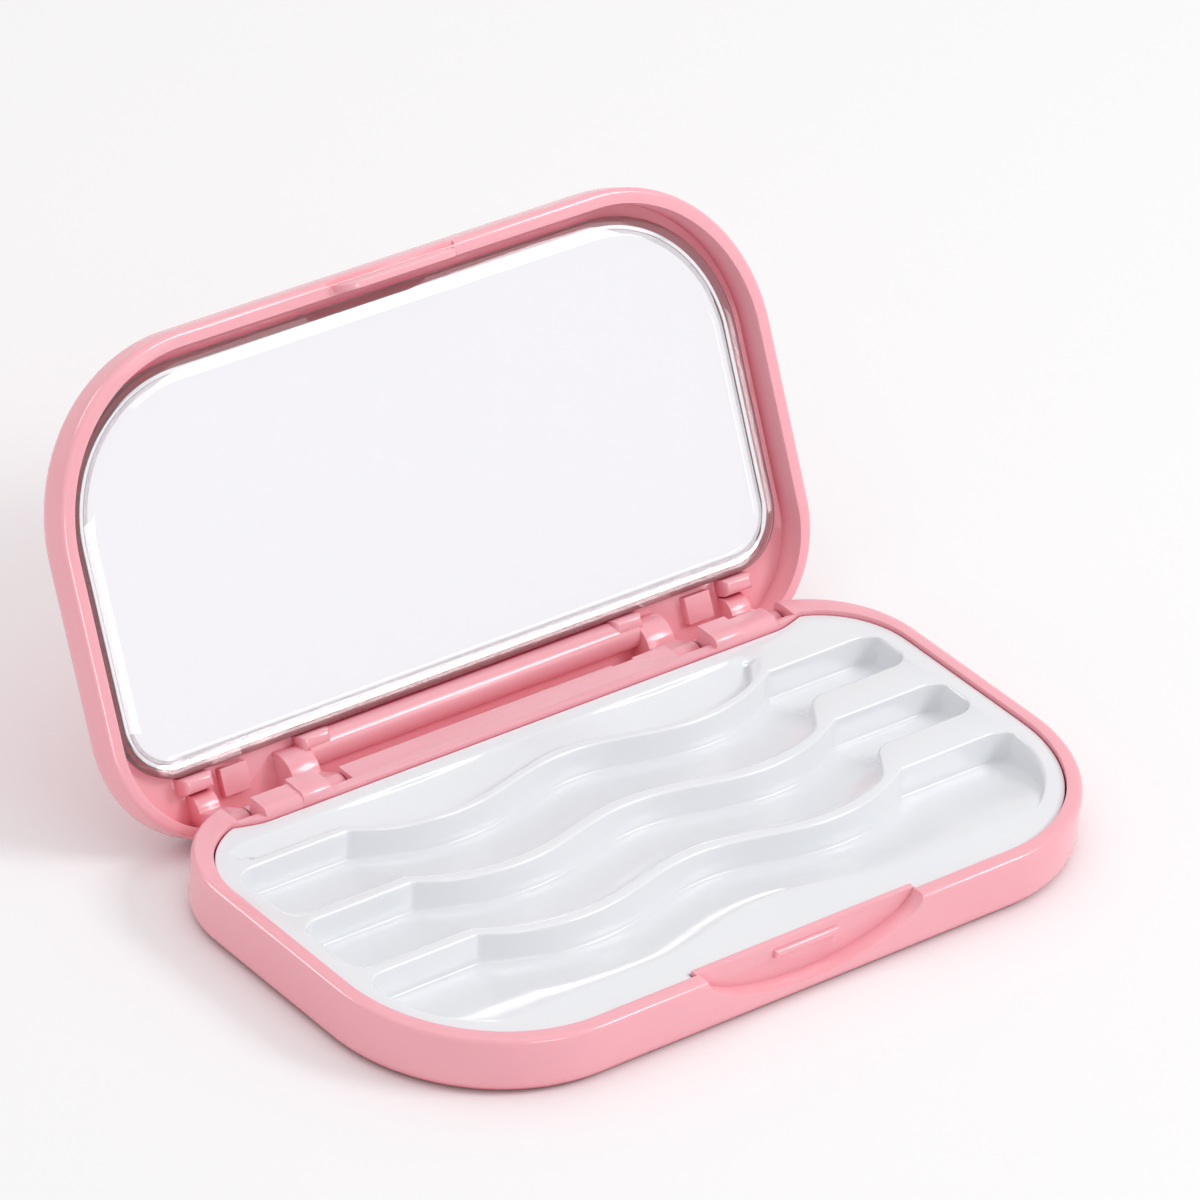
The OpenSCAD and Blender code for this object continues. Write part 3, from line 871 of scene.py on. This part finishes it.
def mouldedWhite():
    # polished high impact polystyrene: cool white, wet looking, with slow ripple from thick and thin places
    mat = newMaterial("polished white polystyrene")
    place = add(mat, "ShaderNodeTexCoord").outputs["Object"]
    shader = add(mat, "ShaderNodeBsdfPrincipled", {"IOR": trayLook["ior"]},
                 Base_Color=cloudedColour(mat, place, trayLook), **mouldedShine(mat, place, trayLook))
    add(mat, "ShaderNodeOutputMaterial", Surface=shader.outputs[0])
    return mat


def clearAcrylic():
    # flame polished clear acrylic: bends what lies behind it, with a hard bright shine
    mat = newMaterial("clear polished acrylic")
    place = add(mat, "ShaderNodeTexCoord").outputs["Object"]
    wipe = add(mat, "ShaderNodeTexNoise", {"Scale": 120, "Detail": 3}, Vector=place)
    shine = add(mat, "ShaderNodeMapRange",
                {"From Min": 0.4, "From Max": 0.7, "To Min": 0.004, "To Max": 0.03},
                Value=wipe.outputs["Fac"])
    shader = add(mat, "ShaderNodeBsdfPrincipled", {
        "Base Color": toLinear("FDFCFE"),
        "IOR": 1.49,
        "Transmission Weight": 0.94,
    }, Roughness=shine.outputs["Result"])
    add(mat, "ShaderNodeOutputMaterial", Surface=shader.outputs[0])
    return mat


def silverCoat():
    # vacuum deposited aluminium on acrylic: a clean mirror with a trace of cool grey
    mat = newMaterial("aluminium mirror coat")
    place = add(mat, "ShaderNodeTexCoord").outputs["Object"]
    haze = add(mat, "ShaderNodeTexNoise", {"Scale": 90, "Detail": 3}, Vector=place)
    shine = add(mat, "ShaderNodeMapRange", {"From Min": 0.4, "From Max": 0.7, "To Min": 0.01, "To Max": 0.03},
                Value=haze.outputs["Fac"])
    shader = add(mat, "ShaderNodeBsdfPrincipled", {"Base Color": toLinear("FBFAFD"), "Metallic": 1},
                 Roughness=shine.outputs["Result"])
    add(mat, "ShaderNodeOutputMaterial", Surface=shader.outputs[0])
    return mat


def foamTape():
    # closed cell polyethylene foam tape: matt off white with fine pores, drawn 0.4 mm wide so they can show
    mat = newMaterial("white foam mounting tape")
    place = add(mat, "ShaderNodeTexCoord").outputs["Object"]
    pores = add(mat, "ShaderNodeTexVoronoi", {"Scale": 2500}, Vector=place)
    tint = add(mat, "ShaderNodeValToRGB", None, Fac=pores.outputs["Distance"])
    tint.color_ramp.elements[0].color = toLinear("D9D6D8")
    tint.color_ramp.elements[1].color = toLinear("F1EFF1")
    bump = add(mat, "ShaderNodeBump", {"Strength": 0.5, "Distance": 0.0001}, Height=pores.outputs["Distance"])
    shader = add(mat, "ShaderNodeBsdfPrincipled", {"Roughness": 0.85}, Base_Color=tint.outputs["Color"],
                 Normal=bump.outputs["Normal"])
    add(mat, "ShaderNodeOutputMaterial", Surface=shader.outputs[0])
    return mat


def drawnSteel():
    # drawn stainless pin: grey metal with fine lines along its length
    mat = newMaterial("drawn stainless steel")
    place = add(mat, "ShaderNodeTexCoord").outputs["Object"]
    along = add(mat, "ShaderNodeMapping", {"Scale": (60, 9000, 9000)}, Vector=place)
    lines = add(mat, "ShaderNodeTexNoise", {"Scale": 1, "Detail": 2}, Vector=along.outputs["Vector"])
    shine = add(mat, "ShaderNodeMapRange", {"To Min": 0.2, "To Max": 0.42}, Value=lines.outputs["Fac"])
    shader = add(mat, "ShaderNodeBsdfPrincipled", {"Base Color": toLinear("B9B8B6"), "Metallic": 1},
                 Roughness=shine.outputs["Result"])
    add(mat, "ShaderNodeOutputMaterial", Surface=shader.outputs[0])
    return mat


def paintedFloor():
    # matt white studio paint with the slightest roller texture
    mat = newMaterial("matt white studio paint")
    place = add(mat, "ShaderNodeTexCoord").outputs["Object"]
    nap = add(mat, "ShaderNodeTexNoise", {"Scale": 700, "Detail": 2}, Vector=place)
    bump = add(mat, "ShaderNodeBump", {"Strength": 0.05, "Distance": 0.0002}, Height=nap.outputs["Fac"])
    shader = add(mat, "ShaderNodeBsdfPrincipled", {"Base Color": toLinear("F9F8F9"), "Roughness": 0.95,
                                                   "Specular IOR Level": 0.1}, Normal=bump.outputs["Normal"])
    add(mat, "ShaderNodeOutputMaterial", Surface=shader.outputs[0])
    return mat


def dress(obj, *materials):
    obj.data.materials.clear()
    for mat in materials:
        obj.data.materials.append(mat)


pink = mouldedPink()
white = mouldedWhite()
acrylic = clearAcrylic()
silver = silverCoat()
tape = foamTape()
steel = drawnSteel()

dress(baseShell, pink)
dress(lidShell, pink)
dress(lashTray, white)
dress(mirrorPlate, acrylic, silver)
pivot = Vector((0, hinge["y"], hinge["z"])) * mm
shut = Matrix.Rotation(radians(hinge["openAngle"]), 3, "X")
bandEnd = plate["clearEdge"] + plate["silverBand"]
mirrorEdge = bandEnd + plate["clearLine"]
for face in mirrorPlate.data.polygons:
    centre = (shut @ (face.center - pivot) + pivot) / mm
    isBack = (shut @ face.normal).z > 0.99
    inward = distanceIn(centre.x, centre.y)
    if isBack and (inward > mirrorEdge or plate["clearEdge"] < inward < bandEnd):
        face.material_index = 1
cadLooks = {
    "base_shell": pink,
    "lid_shell": pink,
    "lash_tray": white,
    "mirror_plate": acrylic,
    "mirror_pad": tape,
    "hinge_pin_left": steel,
    "hinge_pin_right": steel,
}
for name, look in cadLooks.items():
    dress(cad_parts[name], look)
for piece, node, body in ((baseShell, "base_shell", "base"), (lashTray, "lash_tray", "base"),
                          (lidShell, "lid_shell", "lid"), (mirrorPlate, "mirror_plate", "lid")):
    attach(piece, body)
    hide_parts(node)
print("materials and bodies set")


# studio

studio = {
    "lens": 251.8,
    "sensor": 36,
    "target": (0.008115, 0.023612, 0.025457),
    "azimuth": -42.06,
    "elevation": 32.37,
    "roll": 5.69,
    "distance": 1.0811,
    "skyLight": 0.72,
    "aim": (0, 0, 0.02),
}
lamps = {
    "key": {"place": (0.65, -0.6, 0.73), "size": (0.36, 0.36), "power": 3.8},
    "top": {"place": (-0.1, 0.1, 1.3), "size": (1.2, 1.2), "power": 2.6},
    "edge light key": {"place": (0.65, -0.6, 0.76), "size": (0.7, 0.5), "power": 2, "shineOnly": True},
    "edge light left": {"place": (-0.45, 0.74, 0.77), "size": (0.5, 0.3), "power": 3.5, "shineOnly": True},
    "edge light front": {"place": (-0.05, -1.05, 0.4), "size": (0.35, 0.25), "power": 2.2, "shineOnly": True},
}


def makeCamera():
    cam = bpy.data.cameras.new("camera")
    cam.lens = studio["lens"]
    cam.sensor_width = studio["sensor"]
    cam.clip_end = 10
    obj = bpy.data.objects.new("camera", cam)
    bpy.context.scene.collection.objects.link(obj)
    bpy.context.scene.camera = obj
    az, el, roll = (radians(studio[key]) for key in ("azimuth", "elevation", "roll"))
    back = Vector((sin(az) * cos(el), -cos(az) * cos(el), sin(el)))
    obj.location = Vector(studio["target"]) + back * studio["distance"]
    obj.rotation_mode = "QUATERNION"
    obj.rotation_quaternion = (-back).to_track_quat("-Z", "Y") @ Quaternion((0, 0, 1), roll)


def softbox(name, place, size, power, shineOnly=False):
    # an edge light only shows in the shine of the plastic, and adds no light to its colour
    bpy.ops.object.light_add(type="AREA", location=place)
    lamp = bpy.context.object
    lamp.name = name
    lamp.data.shape = "RECTANGLE"
    lamp.data.size, lamp.data.size_y = size
    lamp.data.energy = power
    lamp.rotation_euler = (Vector(studio["aim"]) - lamp.location).to_track_quat("-Z", "Y").to_euler()
    lamp.visible_diffuse = not shineOnly


def makeSky():
    # plain white seen by the camera, in reflections and through the acrylic, and a quieter white as light
    world = bpy.data.worlds.new("white studio")
    world.use_nodes = True
    world.node_tree.nodes.clear()
    links = world.node_tree.links
    path = add(world, "ShaderNodeLightPath")
    seen = path.outputs["Is Camera Ray"]
    for ray in ("Is Glossy Ray", "Is Transmission Ray"):
        either = add(world, "ShaderNodeMath", {"operation": "MAXIMUM"})
        links.new(either.inputs[0], seen)
        links.new(either.inputs[1], path.outputs[ray])
        seen = either.outputs[0]
    light = add(world, "ShaderNodeBackground", {"Color": toLinear("FFFFFF"), "Strength": studio["skyLight"]})
    plain = add(world, "ShaderNodeBackground", {"Color": toLinear("FFFFFF"), "Strength": 1})
    mix = add(world, "ShaderNodeMixShader")
    links.new(mix.inputs[0], seen)
    links.new(mix.inputs[1], light.outputs[0])
    links.new(mix.inputs[2], plain.outputs[0])
    add(world, "ShaderNodeOutputWorld", Surface=mix.outputs[0])
    bpy.context.scene.world = world


makeCamera()
makeSky()
for name, settings in lamps.items():
    softbox(name, **settings)

bpy.ops.object.select_all(action="DESELECT")
bpy.ops.mesh.primitive_plane_add(size=6)
floor = bpy.context.object
floor.name = "floor"
dress(floor, paintedFloor())

bpy.context.scene.view_settings.view_transform = "Standard"
print("studio ready")
